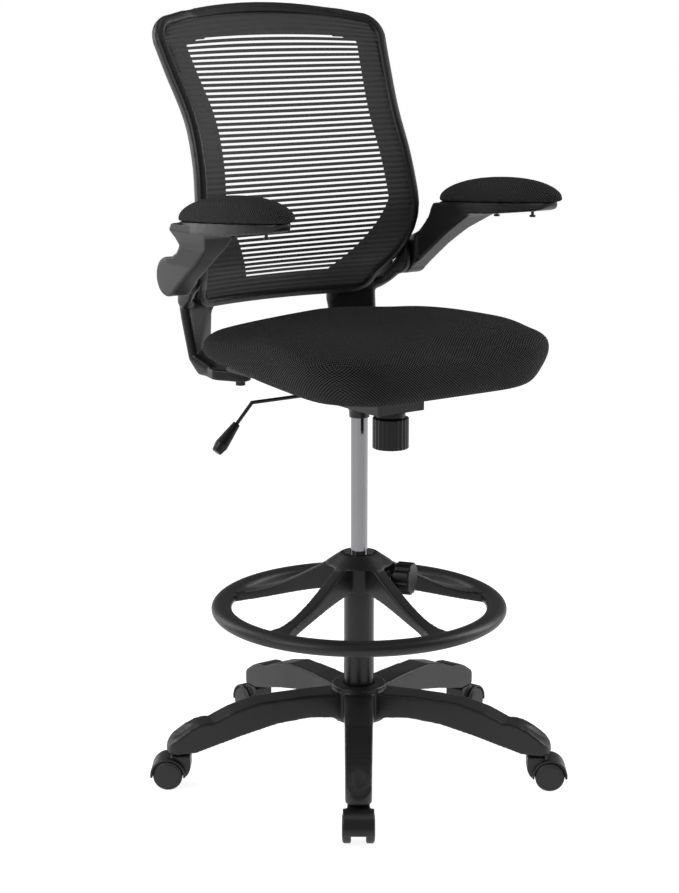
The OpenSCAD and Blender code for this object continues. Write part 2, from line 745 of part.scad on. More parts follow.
module seat_board() {
  color([0.05, 0.05, 0.05])
  difference() {
    union() {
      translate([0, board_mid_y, board_z]) rounded_slab(board_w, board_d, board_corner_r, board_t);
      translate([-plate_w / 2, plate_front_y, plate_z + sheet])
        cube([plate_w, plate_back_y - plate_front_y, board_z - plate_z - sheet + eps]);
    }
    for (x = [-seat_bolt_x, seat_bolt_x], y = seat_bolt_ys)
      translate([x, y, plate_z]) cylinder(r = seat_bolt_r + run_gap, h = board_t + 2);
  }
}

module seat_bolts() {
  color([0.55, 0.55, 0.55])
  for (x = [-seat_bolt_x, seat_bolt_x], y = seat_bolt_ys) translate([x, y, 0]) {
    translate([0, 0, plate_z - 4]) cylinder(r = 6, h = 4, $fn = 6);
    translate([0, 0, plate_z - eps]) cylinder(r = seat_bolt_r, h = board_t - 1);
  }
}

module cushion_corner(x, y, z, r) {
  translate([x * (seat_w / 2 - seat_corner_r), y, z]) rotate_extrude($fn = 40)
    translate([seat_corner_r - r, 0]) circle(r = r, $fn = 24);
}

module seat_cushion() {
  back_y = seat_back_y - seat_corner_r;
  front_y = seat_corner_r - seat_front_y;
  color([0.07, 0.07, 0.07])
  difference() {
    hull() {
      for (x = [-1, 1]) {
        cushion_corner(x, back_y, rim_back_z, rim_r);
        cushion_corner(x, front_y, rim_front_z, rim_r);
        cushion_corner(x * nose_share, front_y, nose_z, nose_r);
      }
      for (side = [-1, 1])
        translate([side * (seat_w / 2 - rim_r), swell_y, swell_z]) sphere(r = rim_r, $fn = 32);
      translate([0, swell_y + 40, cushion_top_z - 1])
        rounded_slab(seat_w - 160, seat_d - 230, seat_corner_r / 2, 1);
      translate([0, board_mid_y, cushion_z + fit_gap])
        rounded_slab(board_w - 6, board_d - 6, board_corner_r - 3, 4);
    }
    translate([0, board_mid_y, cushion_z + fit_gap - 40])
      rounded_slab(board_w + 1, board_d + 1, board_corner_r, 40);
  }
}

// ---- brackets and back ----
module ball(p, r) {
  translate(p) sphere(r = r, $fn = 24);
}

module bracket() {
  low_z = board_z - fit_gap - foot_t;
  neck_z = arm_pivot_z - 49;
  difference() {
    union() {
      hull() {
        translate([foot_x + 2, foot_y - 4, low_z]) cylinder(r = 17, h = foot_t, $fn = 32);
        translate([foot_x + 22, foot_y + 26, low_z]) cylinder(r = 16, h = foot_t, $fn = 32);
        translate([foot_x + 15, foot_y + 68, low_z]) cylinder(r = 14, h = foot_t, $fn = 32);
      }
      hull() {
        ball([foot_x + 24, foot_y + 42, low_z + 10], 9);
        ball([foot_x + 26, foot_y + 76, low_z + 9], 10);
        ball([foot_x, foot_y + 76, low_z + 9], 9);
        ball([strut_x - 4, strut_y - 16, low_z + 28], strut_r);
        ball([strut_x - 50, strut_y + 22, low_z + 36], strut_r);
      }
      hull() {
        ball([strut_x - 4, strut_y - 16, low_z + 28], strut_r);
        ball([strut_x - 50, strut_y + 22, low_z + 36], strut_r);
        ball([strut_x, strut_y, tab_z - 30], strut_r);
        ball([strut_x + 3, strut_y, tab_z - 8], strut_r);
        ball([tab_x - 10, tab_y + 14, tab_z - 28], tab_r);
        ball([tab_x - 4, tab_y + 12, tab_z - 10], tab_r);
      }
      hull() {
        ball([strut_x + 3, strut_y, tab_z - 8], strut_r);
        ball([strut_x - 16, strut_y + 15, tab_z - 10], tab_r);
        ball([strut_x + 13, strut_y - 14, neck_z], 10);
        ball([strut_x + 16, strut_y - 30, neck_z + 8], 9);
      }
      hull() {
        ball([strut_x + 13, strut_y - 14, neck_z], 10);
        ball([strut_x + 16, strut_y - 34, neck_z + 10], 9);
        translate([bracket_barrel_x, arm_pivot_y, arm_pivot_z]) rotate([0, 90, 0])
          cylinder(r = barrel_r - 5, h = 11, $fn = 32);
      }
      hull() {
        ball([tab_x - 4, tab_y + 12, tab_z - 10], tab_r);
        ball([tab_x - 10, tab_y + 14, tab_z - 28], tab_r);
        ball([tab_x + 6, tab_y, tab_z + 4], tab_r);
        ball([tab_x - 18, tab_y, tab_z + 4], tab_r);
      }
      translate([bracket_barrel_x, arm_pivot_y, arm_pivot_z]) rotate([0, 90, 0])
        cylinder(r = barrel_r, h = barrel_in_x - free_gap - bracket_barrel_x);
    }
    translate([bracket_barrel_x - 20, arm_pivot_y, arm_pivot_z]) rotate([0, 90, 0])
      cylinder(r = pin_r + fit_gap, h = 60);
    translate([bracket_barrel_x - 20, arm_pivot_y, arm_pivot_z]) rotate([0, 90, 0])
      cylinder(r = pin_head_r + free_gap, h = 20);
    translate([foot_x, foot_y, low_z - 20]) cylinder(r = bracket_bolt_r + run_gap, h = foot_t + 40);
  }
}

module bracket_bolts() {
  head_t = 8;
  low_z = board_z - fit_gap - foot_t;
  color([0.1, 0.1, 0.1])
  for (side = [-1, 1]) translate([side * foot_x, foot_y, low_z]) {
    translate([0, 0, -head_t]) cylinder(r = 8, h = head_t);
    translate([0, 0, -eps]) cylinder(r = bracket_bolt_r, h = foot_t + board_t - 2);
  }
}

function frame_rings() = [for (i = [0:len(back_path) - 1])
  let (
    n = len(back_path),
    at = function (k) let (q = back_path[(k + n) % n]) [q[0], back_y(q[0], q[1]), q[1]],
    p = at(i),
    t = unit(at(i + 1) - at(i - 1)),
    s = back_slope(p[2]),
    n0 = unit([0, -1, s]),
    side = unit(cross(t, n0)),
    face = unit(cross(side, t)))
  [for (c = [[1, 0.55], [0.6, 1], [-0.6, 1], [-1, 0.55], [-1, -0.55], [-0.6, -1], [0.6, -1], [1, -0.55]])
    p + side * c[0] * frame_w / 2 + face * c[1] * frame_depth / 2]];

module back_frame() {
  color([0.05, 0.05, 0.05]) loft(frame_rings(), true);
}

module back_mesh() {
  rows = 26;
  cols = 14;
  color([0.1, 0.1, 0.1])
  loft([for (i = [0:rows])
    let (v = i / rows, z0 = back_low_z + mesh_inset + (back_high_z - back_low_z - 2 * mesh_inset) * v,
         half = mesh_half(z0) - mesh_inset)
    concat(
      [for (j = [0:cols]) let (u = -1 + 2 * j / cols, z = z0 + back_crown * v * v * (1 - u * u))
        [u * half, back_y(u * half, z0) - frame_depth / 2 + 4 - mesh_t / 2 + back_slope(z0) * (z - z0), z]],
      [for (j = [cols:-1:0]) let (u = -1 + 2 * j / cols, z = z0 + back_crown * v * v * (1 - u * u))
        [u * half,
         back_y(u * half, z0) - frame_depth / 2 + 4 + mesh_t / 2 + back_slope(z0) * (z - z0),
         z]])], false, false);
}

module back_screws() {
  head_t = 3;
  color([0.3, 0.3, 0.3])
  for (side = [-1, 1], x = tab_screw_xs)
    translate([side * x, tab_y + tab_r + head_t, tab_z]) rotate([90, 0, 0]) {
      cylinder(r = 2 * screw_r, h = head_t);
      cylinder(r = screw_r, h = 24);
    }
}

// ---- arms ----
module arm_pin() {
  head_t = 4;
  translate([bracket_barrel_x - head_t, arm_pivot_y, arm_pivot_z]) rotate([0, 90, 0]) {
    cylinder(r = pin_r, h = barrel_out_x - bracket_barrel_x);
    cylinder(r = pin_head_r, h = head_t, $fn = 6);
  }
}

function tray_z(y) = pad_back_z + (pad_front_z - pad_back_z) * (pad_back_y - y) / pad_l;

module tray_plan() {
  half = pad_w / 2 - 4;
  mid_y = (tray_back_y + tray_front_y) / 2;
  reach = (tray_back_y - tray_front_y) / 2;
  polygon([for (a = [0:10:350]) [
    arm_x + half * sign(cos(a)) * pow(abs(cos(a)), 0.85),
    mid_y + reach * sign(sin(a)) * pow(abs(sin(a)), 0.85)]]);
}

module tray_side() {
  polygon([
    [tray_back_y, tray_z(tray_back_y)], [tray_front_y, tray_z(tray_front_y)],
    [tray_front_y + 3, tray_z(tray_front_y) - 7], [tray_front_y + 12, tray_z(tray_front_y) - 13],
    [tray_front_y + 28, tray_z(tray_front_y) - 17], [tray_back_y - 150, tray_z(tray_back_y - 150) - 20],
    [tray_back_y - 30, tray_z(tray_back_y - 30) - 20], [tray_back_y, tray_z(tray_back_y) - 9]]);
}

// Side of the neck between the barrel and the tray
module neck_side() {
  y0 = arm_pivot_y;
  z0 = arm_pivot_z;
  tray_low = tray_z(tray_back_y - 120) - 20;
  polygon([
    [y0 - 20, z0 - 24], [y0 - 42, z0 - 7], [y0 - 104, z0 + 38], [y0 - 164, z0 + 79], [y0 - 178, z0 + 86],
    [tray_back_y - 124, tray_low + 2], [tray_back_y - 124, tray_low + 10],
    [tray_back_y - 3, tray_z(tray_back_y) - 2], [y0 - 66, z0 + 84], [y0 - 64, z0 + 72], [y0 - 53, z0 + 56],
    [y0 - 38, z0 + 43], [y0 - 19, z0 + 35], [y0, z0 + 31]]);
}

// Front of the neck: narrow at the barrel, wider at the tray
module neck_front() {
  z0 = arm_pivot_z;
  polygon([
    [barrel_in_x, z0 - 40], [barrel_out_x, z0 - 40], [barrel_out_x, z0 + 24], [barrel_out_x + 8, z0 + 56],
    [arm_x + pad_w / 2 - 8, z0 + 84], [arm_x + pad_w / 2 - 8, z0 + 130], [arm_x - pad_w / 2 + 8, z0 + 130],
    [arm_x - pad_w / 2 + 8, z0 + 84], [barrel_in_x + 3, z0 + 50], [barrel_in_x, z0 + 30]]);
}

module arm_support() {
  difference() {
    union() {
      translate([barrel_in_x, arm_pivot_y, arm_pivot_z]) rotate([0, 90, 0])
        cylinder(r = barrel_r, h = barrel_out_x - barrel_in_x);
      intersection() {
        translate([arm_x - pad_w, 0, 0]) rotate([90, 0, 90]) linear_extrude(2 * pad_w) tray_side();
        translate([0, 0, pad_back_z - 60]) linear_extrude(120) tray_plan();
      }
      intersection() {
        translate([barrel_in_x, 0, 0]) rotate([90, 0, 90]) linear_extrude(2 * pad_w) neck_side();
        translate([0, arm_pivot_y + 60, 0]) rotate([90, 0, 0]) linear_extrude(400) neck_front();
      }
    }
    translate([barrel_in_x - 1, arm_pivot_y, arm_pivot_z]) rotate([0, 90, 0])
      cylinder(r = pin_r + run_gap, h = barrel_out_x - barrel_in_x - 3);
    translate([barrel_in_x - 1, tray_front_y, arm_pivot_z - barrel_r])
      cube([neck_relief + 1, arm_pivot_y - barrel_r - 8 - tray_front_y, 4 * barrel_r]);
    for (y = arm_screw_ys) translate([arm_x, y, tray_z(y) - 40])
      cylinder(r = arm_screw_r + run_gap, h = 42);
  }
}

// Domed pad: sections along its length, each a rounded hump on a flat base
module arm_pad() {
  steps = 20;
  loft([for (i = [0:steps])
    let (u = 0.004 + 0.992 * i / steps, y = pad_back_y - pad_l * u,
         w = pad_w / 2 * pow(1 - pow(abs(2 * u - 1), 2.3), 1 / 2.3),
         h = (pad_t - 4) * pow(1 - pow(abs(2 * u - 1), 2.2), 0.62) + 4)
    [for (a = [0:15:180]) [
      arm_x - w * sign(cos(a)) * pow(abs(cos(a)), 0.8), y, tray_z(y) + fit_gap + h * pow(sin(a), 0.75)]]], false);
}

module arm_screws() {
  head_t = 3;
  for (y = arm_screw_ys) translate([arm_x, y, tray_z(y) - 22]) {
    translate([0, 0, -head_t]) cylinder(r = 2 * arm_screw_r, h = head_t);
    translate([0, 0, -eps]) cylinder(r = arm_screw_r, h = 20);
  }
}

module right_side() {
  mirror([1, 0, 0]) children();
}

base_star();
outer_column();
column_bushing();
thrust_bearing();
for (i = [1:legs]) {
  caster_stem(i);
  caster_hood(i);
  caster_axle(i);
  caster_wheels(i);
}
piston_rod();
piston();
rod_clip();
gas_cylinder();
release_pin();
foot_ring();
ring_bushing();
ring_screw();
ring_knob();
taper_socket();
mechanism_housing();
tilt_axle();
tilt_spring();
tension_bolt();
tension_knob();
lever_bush();
lever_wire();
lever_grip();
seat_plate();
seat_board();
seat_bolts();
seat_cushion();
color([0.09, 0.09, 0.09]) right_side() bracket();  // bracket_right
color([0.09, 0.09, 0.09]) bracket();  // bracket_left
bracket_bolts();
back_frame();
back_mesh();
back_screws();
color([0.5, 0.5, 0.5]) right_side() arm_pin();  // arm_right_pin
color([0.5, 0.5, 0.5]) arm_pin();  // arm_left_pin
color([0.08, 0.08, 0.08]) right_side() arm_support();  // arm_right_support
color([0.08, 0.08, 0.08]) arm_support();  // arm_left_support
color([0.1, 0.1, 0.1]) right_side() arm_pad();  // arm_right_pad
color([0.1, 0.1, 0.1]) arm_pad();  // arm_left_pad
color([0.4, 0.4, 0.4]) right_side() arm_screws();  // arm_right_screws
color([0.4, 0.4, 0.4]) arm_screws();  // arm_left_screws
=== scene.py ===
"""Drafting chair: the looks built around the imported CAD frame. Lengths are in metres, in the CAD's own frame."""

import json
import math

import bmesh
import bpy
from mathutils import Matrix, Vector
from mathutils.bvhtree import BVHTree


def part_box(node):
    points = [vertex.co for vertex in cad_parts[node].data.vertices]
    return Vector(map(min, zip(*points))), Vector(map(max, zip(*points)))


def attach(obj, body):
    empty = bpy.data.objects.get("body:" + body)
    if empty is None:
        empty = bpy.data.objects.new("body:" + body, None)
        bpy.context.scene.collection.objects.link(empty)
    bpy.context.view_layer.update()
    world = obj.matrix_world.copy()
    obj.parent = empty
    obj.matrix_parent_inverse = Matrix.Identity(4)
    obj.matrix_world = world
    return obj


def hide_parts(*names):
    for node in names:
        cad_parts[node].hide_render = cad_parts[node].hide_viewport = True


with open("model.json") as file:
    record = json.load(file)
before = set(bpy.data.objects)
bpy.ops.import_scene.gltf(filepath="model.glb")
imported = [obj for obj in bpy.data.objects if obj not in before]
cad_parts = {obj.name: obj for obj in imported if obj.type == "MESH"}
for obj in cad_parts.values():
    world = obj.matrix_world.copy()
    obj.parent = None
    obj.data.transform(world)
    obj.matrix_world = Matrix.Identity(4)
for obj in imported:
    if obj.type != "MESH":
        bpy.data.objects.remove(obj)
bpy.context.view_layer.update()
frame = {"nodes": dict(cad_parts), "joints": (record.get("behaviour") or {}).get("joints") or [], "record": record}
SIDES = ("right", "left")
CASTERS = range(1, 6)
JOINTS = {joint["name"]: joint for joint in frame["joints"]}


# ---------------------------------------------------------------- camera, light and floor

CAMERA_DISTANCE = 3.338
CAMERA_HEIGHT = 1.2997
CAMERA_AZIMUTH = math.radians(36)
CAMERA_PITCH = math.radians(12.66)
CAMERA_YAW = math.radians(-0.556)
CAMERA_LENS = 84.5
SENSOR = 36
FLOOR_SIZE = 400


def make_camera():
    """A camera on the sitter's right front, that looks a little down on the chair."""
    data = bpy.data.cameras.new("camera")
    data.sensor_width = SENSOR
    data.lens = CAMERA_LENS
    data.clip_end = FLOOR_SIZE
    camera = bpy.data.objects.new("camera", data)
    bpy.context.scene.collection.objects.link(camera)
    level = math.cos(CAMERA_PITCH)
    ahead = Vector((math.sin(CAMERA_YAW) * level, math.cos(CAMERA_YAW) * level, -math.sin(CAMERA_PITCH)))
    right = Vector((math.cos(CAMERA_YAW), -math.sin(CAMERA_YAW), 0))
    turn = Matrix((right, right.cross(ahead), -ahead)).transposed().to_4x4()
    turn.translation = Vector((0, -CAMERA_DISTANCE, CAMERA_HEIGHT))
    camera.matrix_world = Matrix.Rotation(-CAMERA_AZIMUTH, 4, "Z") @ turn
    bpy.context.scene.camera = camera


def make_light(name, place, size, power, aim=(0, 0, 0.7)):
    data = bpy.data.lights.new(name, "AREA")
    data.shape = "RECTANGLE"
    data.size, data.size_y = size
    data.energy = power
    light = bpy.data.objects.new(name, data)
    bpy.context.scene.collection.objects.link(light)
    light.location = place
    light.rotation_euler = (Vector(aim) - Vector(place)).to_track_quat("-Z", "Y").to_euler()
    return light


def around(azimuth, distance, height):
    """A place seen at an azimuth from the camera's side: 0 is behind the camera, 90 is on its right."""
    angle = math.radians(azimuth) - CAMERA_AZIMUTH
    return (distance * math.sin(angle), -distance * math.cos(angle), height)


def make_stage():
    world = bpy.data.worlds.new("studio")
    world.use_nodes = True
    background = world.node_tree.nodes["Background"]
    background.inputs["Color"].default_value = (1.0, 1.0, 1.0, 1)
    background.inputs["Strength"].default_value = 0.2
    bpy.context.scene.world = world
    bpy.context.scene.view_settings.view_transform = "Standard"
    bpy.ops.mesh.primitive_plane_add(size=FLOOR_SIZE, location=(0, 0, 0))
    floor = bpy.context.object
    floor.name = "floor"
    floor.data.materials.append(floor_paint())
    make_light("key", around(-55, 3.2, 2.6), (1.2, 2.0), 70)
    make_light("rim_right", around(110, 2.6, 1.7), (0.7, 2.4), 55)
    make_light("rim_left", around(-120, 2.6, 1.5), (0.7, 2.4), 30)
    make_light("top", (0, 0, 3.2), (1.6, 1.6), 18)


# ---------------------------------------------------------------- materials


class Nodes:
    """A short way to build one material's node tree."""

    def __init__(self, name):
        self.material = bpy.data.materials.new(name)
        self.material.use_nodes = True
        self.tree = self.material.node_tree
        self.shader = self.tree.nodes["Principled BSDF"]
        self.place = self.add("ShaderNodeTexCoord").outputs["Object"]

    def add(self, kind, **settings):
        node = self.tree.nodes.new(kind)
        for key, value in settings.items():
            setattr(node, key, value)
        return node

    def join(self, source, target):
        self.tree.links.new(source, target)

    def math(self, operation, a, b=0.0):
        node = self.add("ShaderNodeMath", operation=operation)
        for socket, value in zip(node.inputs, (a, b)):
            if isinstance(value, (int, float)):
                socket.default_value = value
            else:
                self.join(value, socket)
        return node.outputs[0]

    def noise(self, scale, detail=2.0, rough=0.5):
        node = self.add("ShaderNodeTexNoise")
        node.inputs["Scale"].default_value = scale
        node.inputs["Detail"].default_value = detail
        node.inputs["Roughness"].default_value = rough
        self.join(self.place, node.inputs["Vector"])
        return node.outputs["Fac"]

    def ramp(self, source, low, high, from_low=0.0, from_high=1.0):
        """Maps a number from one range to another."""
        node = self.add("ShaderNodeMapRange")
        self.join(source, node.inputs["Value"])
        node.inputs["From Min"].default_value = from_low
        node.inputs["From Max"].default_value = from_high
        node.inputs["To Min"].default_value = low
        node.inputs["To Max"].default_value = high
        return node.outputs["Result"]

    def tint(self, source, dark, light):
        """The base colour runs from dark to light with a number from 0 to 1."""
        node = self.add("ShaderNodeMix", data_type="RGBA")
        self.join(source, node.inputs["Factor"])
        node.inputs["A"].default_value = (*dark, 1)
        node.inputs["B"].default_value = (*light, 1)
        self.join(node.outputs["Result"], self.shader.inputs["Base Color"])

    def bump(self, height, strength, distance):
        node = self.add("ShaderNodeBump")
        node.inputs["Strength"].default_value = strength
        node.inputs["Distance"].default_value = distance
        self.join(height, node.inputs["Height"])
        self.join(node.outputs["Normal"], self.shader.inputs["Normal"])

    def set(self, **values):
        for key, value in values.items():
            self.shader.inputs[key.replace("_", " ")].default_value = value


def grey(value, blue=0.03):
    return (value, value, value * (1 + blue))


def plastic(name, shade, rough, grain=900, grain_depth=0.00006, spread=0.25, glance=0.36):
    """Moulded plastic: a fine spark-eroded grain, faint flow marks and uneven gloss."""
    n = Nodes(name)
    flow = n.noise(9, 3)
    fine = n.noise(grain, 2)
    n.tint(flow, grey(shade * (1 - spread)), grey(shade * (1 + spread)))
    n.join(n.ramp(n.math("ADD", flow, fine), rough - 0.07, rough + 0.07, 0.6, 1.4), n.shader.inputs["Roughness"])
    n.bump(fine, 0.35, grain_depth)
    n.set(Specular_IOR_Level=glance)
    return n.material


def painted_steel(name, shade, rough):
    """Powder coat: orange peel over a dark colour."""
    n = Nodes(name)
    peel = n.noise(420, 1)
    cloud = n.noise(6, 2)
    n.tint(cloud, grey(shade * 0.8), grey(shade * 1.25))
    n.join(n.ramp(peel, rough - 0.05, rough + 0.08), n.shader.inputs["Roughness"])
    n.bump(peel, 0.3, 0.00008)
    n.set(Coat_Weight=0.04, Coat_Roughness=0.25, Specular_IOR_Level=0.32)
    return n.material


def bright_steel(name, shade, rough, fine=1800):
    """Turned or drawn steel: lines around the axis and faint smears."""
    n = Nodes(name)
    stretch = n.add("ShaderNodeMapping")
    stretch.inputs["Scale"].default_value = (1, 1, 14)
    n.join(n.place, stretch.inputs["Vector"])
    lines = n.add("ShaderNodeTexNoise")
    lines.inputs["Scale"].default_value = fine / 14
    lines.inputs["Detail"].default_value = 2
    n.join(stretch.outputs["Vector"], lines.inputs["Vector"])
    smear = n.noise(14, 3)
    n.tint(smear, grey(shade * 0.88), grey(shade * 1.08))
    n.join(n.ramp(n.math("ADD", lines.outputs["Fac"], smear), rough - 0.05, rough + 0.08, 0.6, 1.4),
           n.shader.inputs["Roughness"])
    n.bump(lines.outputs["Fac"], 0.08, 0.00003)
    n.set(Metallic=1.0)
    return n.material


def cells(n, across, along, pitch_a, pitch_b):
    """Staggered cells on a plane: 1 in the middle of a cell, -1 on the threads between."""
    a = n.math("COSINE", n.math("MULTIPLY", across, 2 * math.pi / pitch_a))
    b = n.math("COSINE", n.math("MULTIPLY", along, 2 * math.pi / pitch_b))
    return n.math("MULTIPLY", a, b)


def spacer_mesh(name, dark, light, pitch_a=0.0052, pitch_b=0.0040):
    """Knitted spacer fabric: staggered open cells between rounded threads, with painted shade making the cells near
    black.
    """
    n = Nodes(name)
    split = n.add("ShaderNodeSeparateXYZ")
    n.join(n.place, split.inputs[0])
    x, y, z = split.outputs
    facing = n.add("ShaderNodeSeparateXYZ")
    geometry = n.add("ShaderNodeNewGeometry")
    n.join(geometry.outputs["True Normal"], facing.inputs[0])
    total = 0.0
    weights = 0.0
    for normal, across, along in ((facing.outputs[2], x, y), (facing.outputs[1], x, z), (facing.outputs[0], y, z)):
        weight = n.math("POWER", n.math("ABSOLUTE", normal), 6.0)
        part = n.math("MULTIPLY", cells(n, across, along, pitch_a, pitch_b), weight)
        total = part if isinstance(total, float) else n.math("ADD", total, part)
        weights = weight if isinstance(weights, float) else n.math("ADD", weights, weight)
    weave = n.math("DIVIDE", total, weights)
    hole = n.ramp(weave, 1.0, 0.0, -0.3, 0.45)
    fibre = n.noise(2600, 2)
    cloud = n.noise(5, 3)
    # painted shade: the cells are painted near black for the shade inside them; fibre and cloud add random tone on the
    # threads
    shade = n.math("MULTIPLY", hole, n.ramp(n.math("ADD", fibre, cloud), 0.55, 1.25, 0.6, 1.4))
    n.tint(shade, dark, light)
    n.join(n.ramp(fibre, 0.7, 0.95), n.shader.inputs["Roughness"])
    n.bump(n.math("ADD", hole, n.math("MULTIPLY", fibre, 0.15)), 0.8, 0.0007)
    n.join(n.ramp(hole, 0.0, 0.16), n.shader.inputs["Specular IOR Level"])
    return n.material


def slat_fabric(name, dark, light):
    """Woven slats of the back: fine threads across, with a soft satin face."""
    n = Nodes(name)
    split = n.add("ShaderNodeSeparateXYZ")
    n.join(n.place, split.inputs[0])
    across = n.math("COSINE", n.math("MULTIPLY", split.outputs[0], 2 * math.pi / 0.0016))
    along = n.math("COSINE", n.math("MULTIPLY", split.outputs[2], 2 * math.pi / 0.0011))
    weave = n.math("MULTIPLY", across, along)
    fibre = n.noise(1900, 2)
    thread = n.ramp(n.math("ADD", weave, n.math("MULTIPLY", fibre, 0.8)), 0.0, 1.0, -0.8, 1.4)
    n.tint(thread, dark, light)
    n.join(n.ramp(fibre, 0.55, 0.8), n.shader.inputs["Roughness"])
    n.bump(thread, 0.6, 0.00025)
    n.set(Sheen_Weight=0.05, Sheen_Roughness=0.4, Specular_IOR_Level=0.5)
    return n.material


def floor_paint():
    n = Nodes("floor_paint")
    n.tint(n.noise(3, 2), (0.4, 0.4, 0.4), (0.42, 0.42, 0.42))
    n.set(Roughness=0.7, Emission_Color=(1, 1, 1, 1), Emission_Strength=0.9)
    return n.material


MATERIALS = {
    "nylon_base": plastic("nylon", 0.0095, 0.44, grain=700),
    "column_black": painted_steel("column_paint", 0.005, 0.32),
    "gloss_black": plastic("gloss_plastic", 0.006, 0.14, grain=300, grain_depth=0.00001),
    "chrome_tube": bright_steel("chrome", 0.22, 0.13),
    "steel_plain": bright_steel("steel", 0.42, 0.32),
    "painted_black": painted_steel("powder_coat", 0.008, 0.38),
    "caster_plastic": plastic("caster_nylon", 0.009, 0.4, grain=1000),
    "wheel_plastic": plastic("wheel_nylon", 0.014, 0.5, grain=1300),
    "arm_plastic": plastic("arm_plastic", 0.0055, 0.42, grain=1100, glance=0.25),
    "pan_plastic": plastic("pan_plastic", 0.009, 0.5, grain=800),
    "seat_fabric": spacer_mesh("seat_spacer_mesh", (0.0003, 0.0003, 0.0004), (0.036, 0.036, 0.037)),
    "pad_fabric": spacer_mesh("pad_spacer_mesh", (0.0003, 0.0003, 0.0004), (0.038, 0.038, 0.039), 0.0046, 0.0036),
    "back_fabric": slat_fabric("back_slats", (0.002, 0.002, 0.0022), (0.016, 0.016, 0.0165)),
}
BLACKENED = painted_steel("blackened_steel", 0.012, 0.4)
SLOT_OF = {part["node"]: part["material_slot"] for part in frame["record"]["subparts"]}


def finish_cad_nodes():
    """Every carried-over CAD node takes the material of its slot, except the screws and axles, which take blackened
    steel.
    """
    for name, node in frame["nodes"].items():
        node.data.materials.clear()
        node.data.materials.append(BLACKENED if "screws" in name or "axle" in name else MATERIALS[SLOT_OF[name]])


# ---------------------------------------------------------------- mesh helpers


def new_object(name, points, faces):
    mesh = bpy.data.meshes.new(name)
    mesh.from_pydata([tuple(p) for p in points], [], faces)
    mesh.update()
    obj = bpy.data.objects.new(name, mesh)
    bpy.context.scene.collection.objects.link(obj)
    return obj


def loft(name, rings, closed=False):
    """A skin over rings that have the same number of points, with flat ends unless it is closed."""
    count = len(rings[0])
    points = [p for ring in rings for p in ring]
    faces = []
    for i in range(len(rings) if closed else len(rings) - 1):
        a, b = i * count, (i + 1) % len(rings) * count
        faces += [(a + j, a + (j + 1) % count, b + (j + 1) % count, b + j) for j in range(count)]
    if not closed:
        faces.append(tuple(range(count - 1, -1, -1)))
        faces.append(tuple((len(rings) - 1) * count + j for j in range(count)))
    return new_object(name, points, faces)


def lathe(name, profile, turns=64, closed=False):
    """A profile of (radius, height) turned about Z. A closed profile comes back to its first point."""
    rings = []
    for i in range(turns):
        angle = 2 * math.pi * i / turns
        rings.append([(r * math.cos(angle), r * math.sin(angle), z) for r, z in profile])
    count = len(profile)
    faces = []
    for i in range(turns):
        a, b = i * count, (i + 1) % turns * count
        for j in range(count if closed else count - 1):
            faces.append((a + j, b + j, b + (j + 1) % count, a + (j + 1) % count))
    obj = new_object(name, [p for ring in rings for p in ring], faces)
    tidy_mesh(obj)
    return obj


def tidy_mesh(obj, weld=0.00001):
    """Welds doubled points and turns the faces outward."""
    bm = bmesh.new()
    bm.from_mesh(obj.data)
    bmesh.ops.remove_doubles(bm, verts=bm.verts, dist=weld)
    bmesh.ops.recalc_face_normals(bm, faces=bm.faces)
    bm.to_mesh(obj.data)
    bm.free()
    return obj


def active(obj):
    bpy.ops.object.select_all(action="DESELECT")
    obj.select_set(True)
    bpy.context.view_layer.objects.active = obj


def apply_modifiers(obj):
    active(obj)
    for modifier in list(obj.modifiers):
        bpy.ops.object.modifier_apply(modifier=modifier.name)
    return obj


def merge(name, parts):
    """Joins parts into one object."""
    active(parts[0])
    for part in parts:
        part.select_set(True)
    bpy.ops.object.join()
    parts[0].name = name
    return parts[0]


def shade(obj, angle=40):
    active(obj)
    bpy.ops.object.shade_smooth_by_angle(angle=math.radians(angle))
    return obj


def remesh(obj, voxel, rounds, keep=0.5):
    """Blends an object of overlapping solids into one moulding with rounded edges."""
    modifier = obj.modifiers.new("blend", "REMESH")
    modifier.mode = "VOXEL"
    modifier.voxel_size = voxel
    apply_modifiers(obj)
    modifier = obj.modifiers.new("round", "SMOOTH")
    modifier.factor = keep
    modifier.iterations = rounds
    apply_modifiers(obj)
    obj.data.polygons.foreach_set("use_smooth", [True] * len(obj.data.polygons))
    return obj


def copy_of(node, name):
    """The mesh of a CAD node as a new object."""
    source = frame["nodes"][node]
    obj = bpy.data.objects.new(name, source.data.copy())
    bpy.context.scene.collection.objects.link(obj)
    obj.data.materials.clear()
    return tidy_mesh(obj)


def body_of(node):
    for body, nodes in frame["record"]["behaviour"]["bodies"].items():
        if node in nodes:
            return body
    raise ValueError(node)


def stand_for(obj, node, *others):
    """The piece takes the node's place, body, slot and material."""
    obj.data.materials.clear()
    obj.data.materials.append(MATERIALS[SLOT_OF[node]])
    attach(obj, body_of(node))
    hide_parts(node, *others)
    return obj


def moulded(node, voxel, rounds):
    """The CAD node's own shape, with the rounded edges of a moulding."""
    obj = copy_of(node, node + "_moulding")
    remesh(obj, voxel, rounds)
    return stand_for(obj, node)


def smooth_step(t):
    t = min(max(t, 0.0), 1.0)
    return t * t * (3 - 2 * t)


# ---------------------------------------------------------------- pieces


# the back: slats, and the open window in the cloth
SLAT_PITCH = 0.0088
SLAT_SHARE = 0.55
SLAT_BULGE = 0.0009
SLAT_CROWN_DEPTH = 0.045
CLOTH_THICKNESS = 0.0012
WINDOW_TOP_BAND = 0.031
WINDOW_BOTTOM_BAND = 0.027
WINDOW_ARCH = 0.011
SLAT_SAG = 0.003
WINDOW_SIDE_BAND = 0.041
WINDOW_CUT_HEIGHT = 0.125
WINDOW_LOW_SHARE = 0.62
WINDOW_CORNER = 0.018
SIDE_COLUMNS = 6
MIDDLE_COLUMNS = 36
